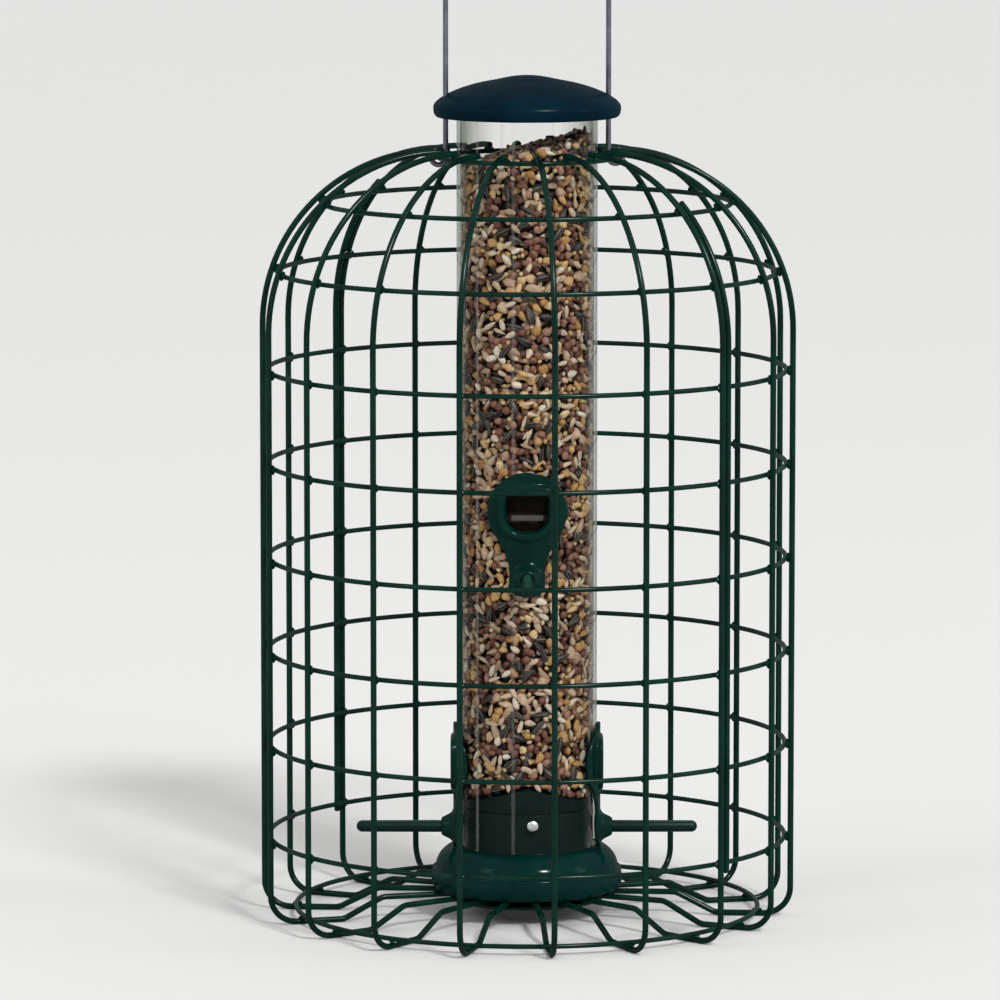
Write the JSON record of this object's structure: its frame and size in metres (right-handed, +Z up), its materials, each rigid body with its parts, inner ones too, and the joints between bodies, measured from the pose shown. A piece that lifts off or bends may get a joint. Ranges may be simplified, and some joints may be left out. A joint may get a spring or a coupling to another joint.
{
  "type": "caged tube bird feeder",
  "caption": "Hanging seed tube with feeding ports and perches, inside a domed wire cage that keeps larger animals off, with a cap that lifts along its wire bail.",
  "frame": {"origin": "on the floor that the rib wires stand on, on the axis of the seed tube", "axes": "+Z up along the tube, -Y towards the front upper port, +X towards the right lower port"},
  "size_m": [0.2422, 0.2418, 0.5202],
  "materials": {
    "cage_coating": "dark green powder coat, half gloss",
    "casting_paint": "dark bottle green enamel, gloss",
    "port_moulding": "dark green moulding, half gloss",
    "clear_tube": "clear, smooth",
    "screw_steel": "bright plated steel",
    "bail_wire": "dull grey wire",
    "seed_mix": "mixed small seeds, tan, brown, black and cream"
  },
  "bodies": {
    "feeder": {"cage_rib_01": "cage_coating", "cage_rib_02": "cage_coating", "cage_rib_03": "cage_coating", "cage_rib_04": "cage_coating", "cage_rib_05": "cage_coating", "cage_rib_06": "cage_coating", "cage_rib_07": "cage_coating", "cage_rib_08": "cage_coating", "cage_rib_09": "cage_coating", "cage_rib_10": "cage_coating", "cage_rib_11": "cage_coating", "cage_rib_12": "cage_coating", "cage_rib_13": "cage_coating", "cage_rib_14": "cage_coating", "cage_rib_15": "cage_coating", "cage_rib_16": "cage_coating", "cage_rib_17": "cage_coating", "cage_rib_18": "cage_coating", "cage_seam_wire_front": "cage_coating", "cage_seam_wire_back": "cage_coating", "cage_ring_1": "cage_coating", "cage_ring_2": "cage_coating", "cage_ring_3": "cage_coating", "cage_ring_4": "cage_coating", "cage_ring_5": "cage_coating", "cage_ring_6": "cage_coating", "cage_ring_7": "cage_coating", "cage_ring_8": "cage_coating", "cage_ring_9": "cage_coating", "cage_top_ring": "cage_coating", "cage_floor_ring": "cage_coating", "tube": "clear_tube", "base": "casting_paint", "seed_baffle": "port_moulding", "floor_plate": "cage_coating", "thumb_screw": "screw_steel", "tube_screw_front": "screw_steel", "tube_screw_back": "screw_steel", "port_front": "port_moulding", "port_right": "port_moulding", "port_back": "port_moulding", "port_left": "port_moulding", "perch_front": "port_moulding", "perch_right": "port_moulding", "perch_back": "port_moulding", "perch_left": "port_moulding", "seed_fill": "seed_mix"},
    "bail": {"bail": "bail_wire"},
    "cap": {"cap": "casting_paint"}
  },
  "joints": [
    {"name": "bail_rock", "type": "hinge", "parent": "feeder", "child": "bail", "pos_m": [0, 0, 0.34503], "axis": [0.9952, 0.0976, 0], "range_deg": [-1.5, 1.5]},
    {"name": "cap_lift", "type": "slide", "parent": "bail", "child": "cap", "axis": [0, 0, 1], "range_m": [0, 0.1]}
  ]
}
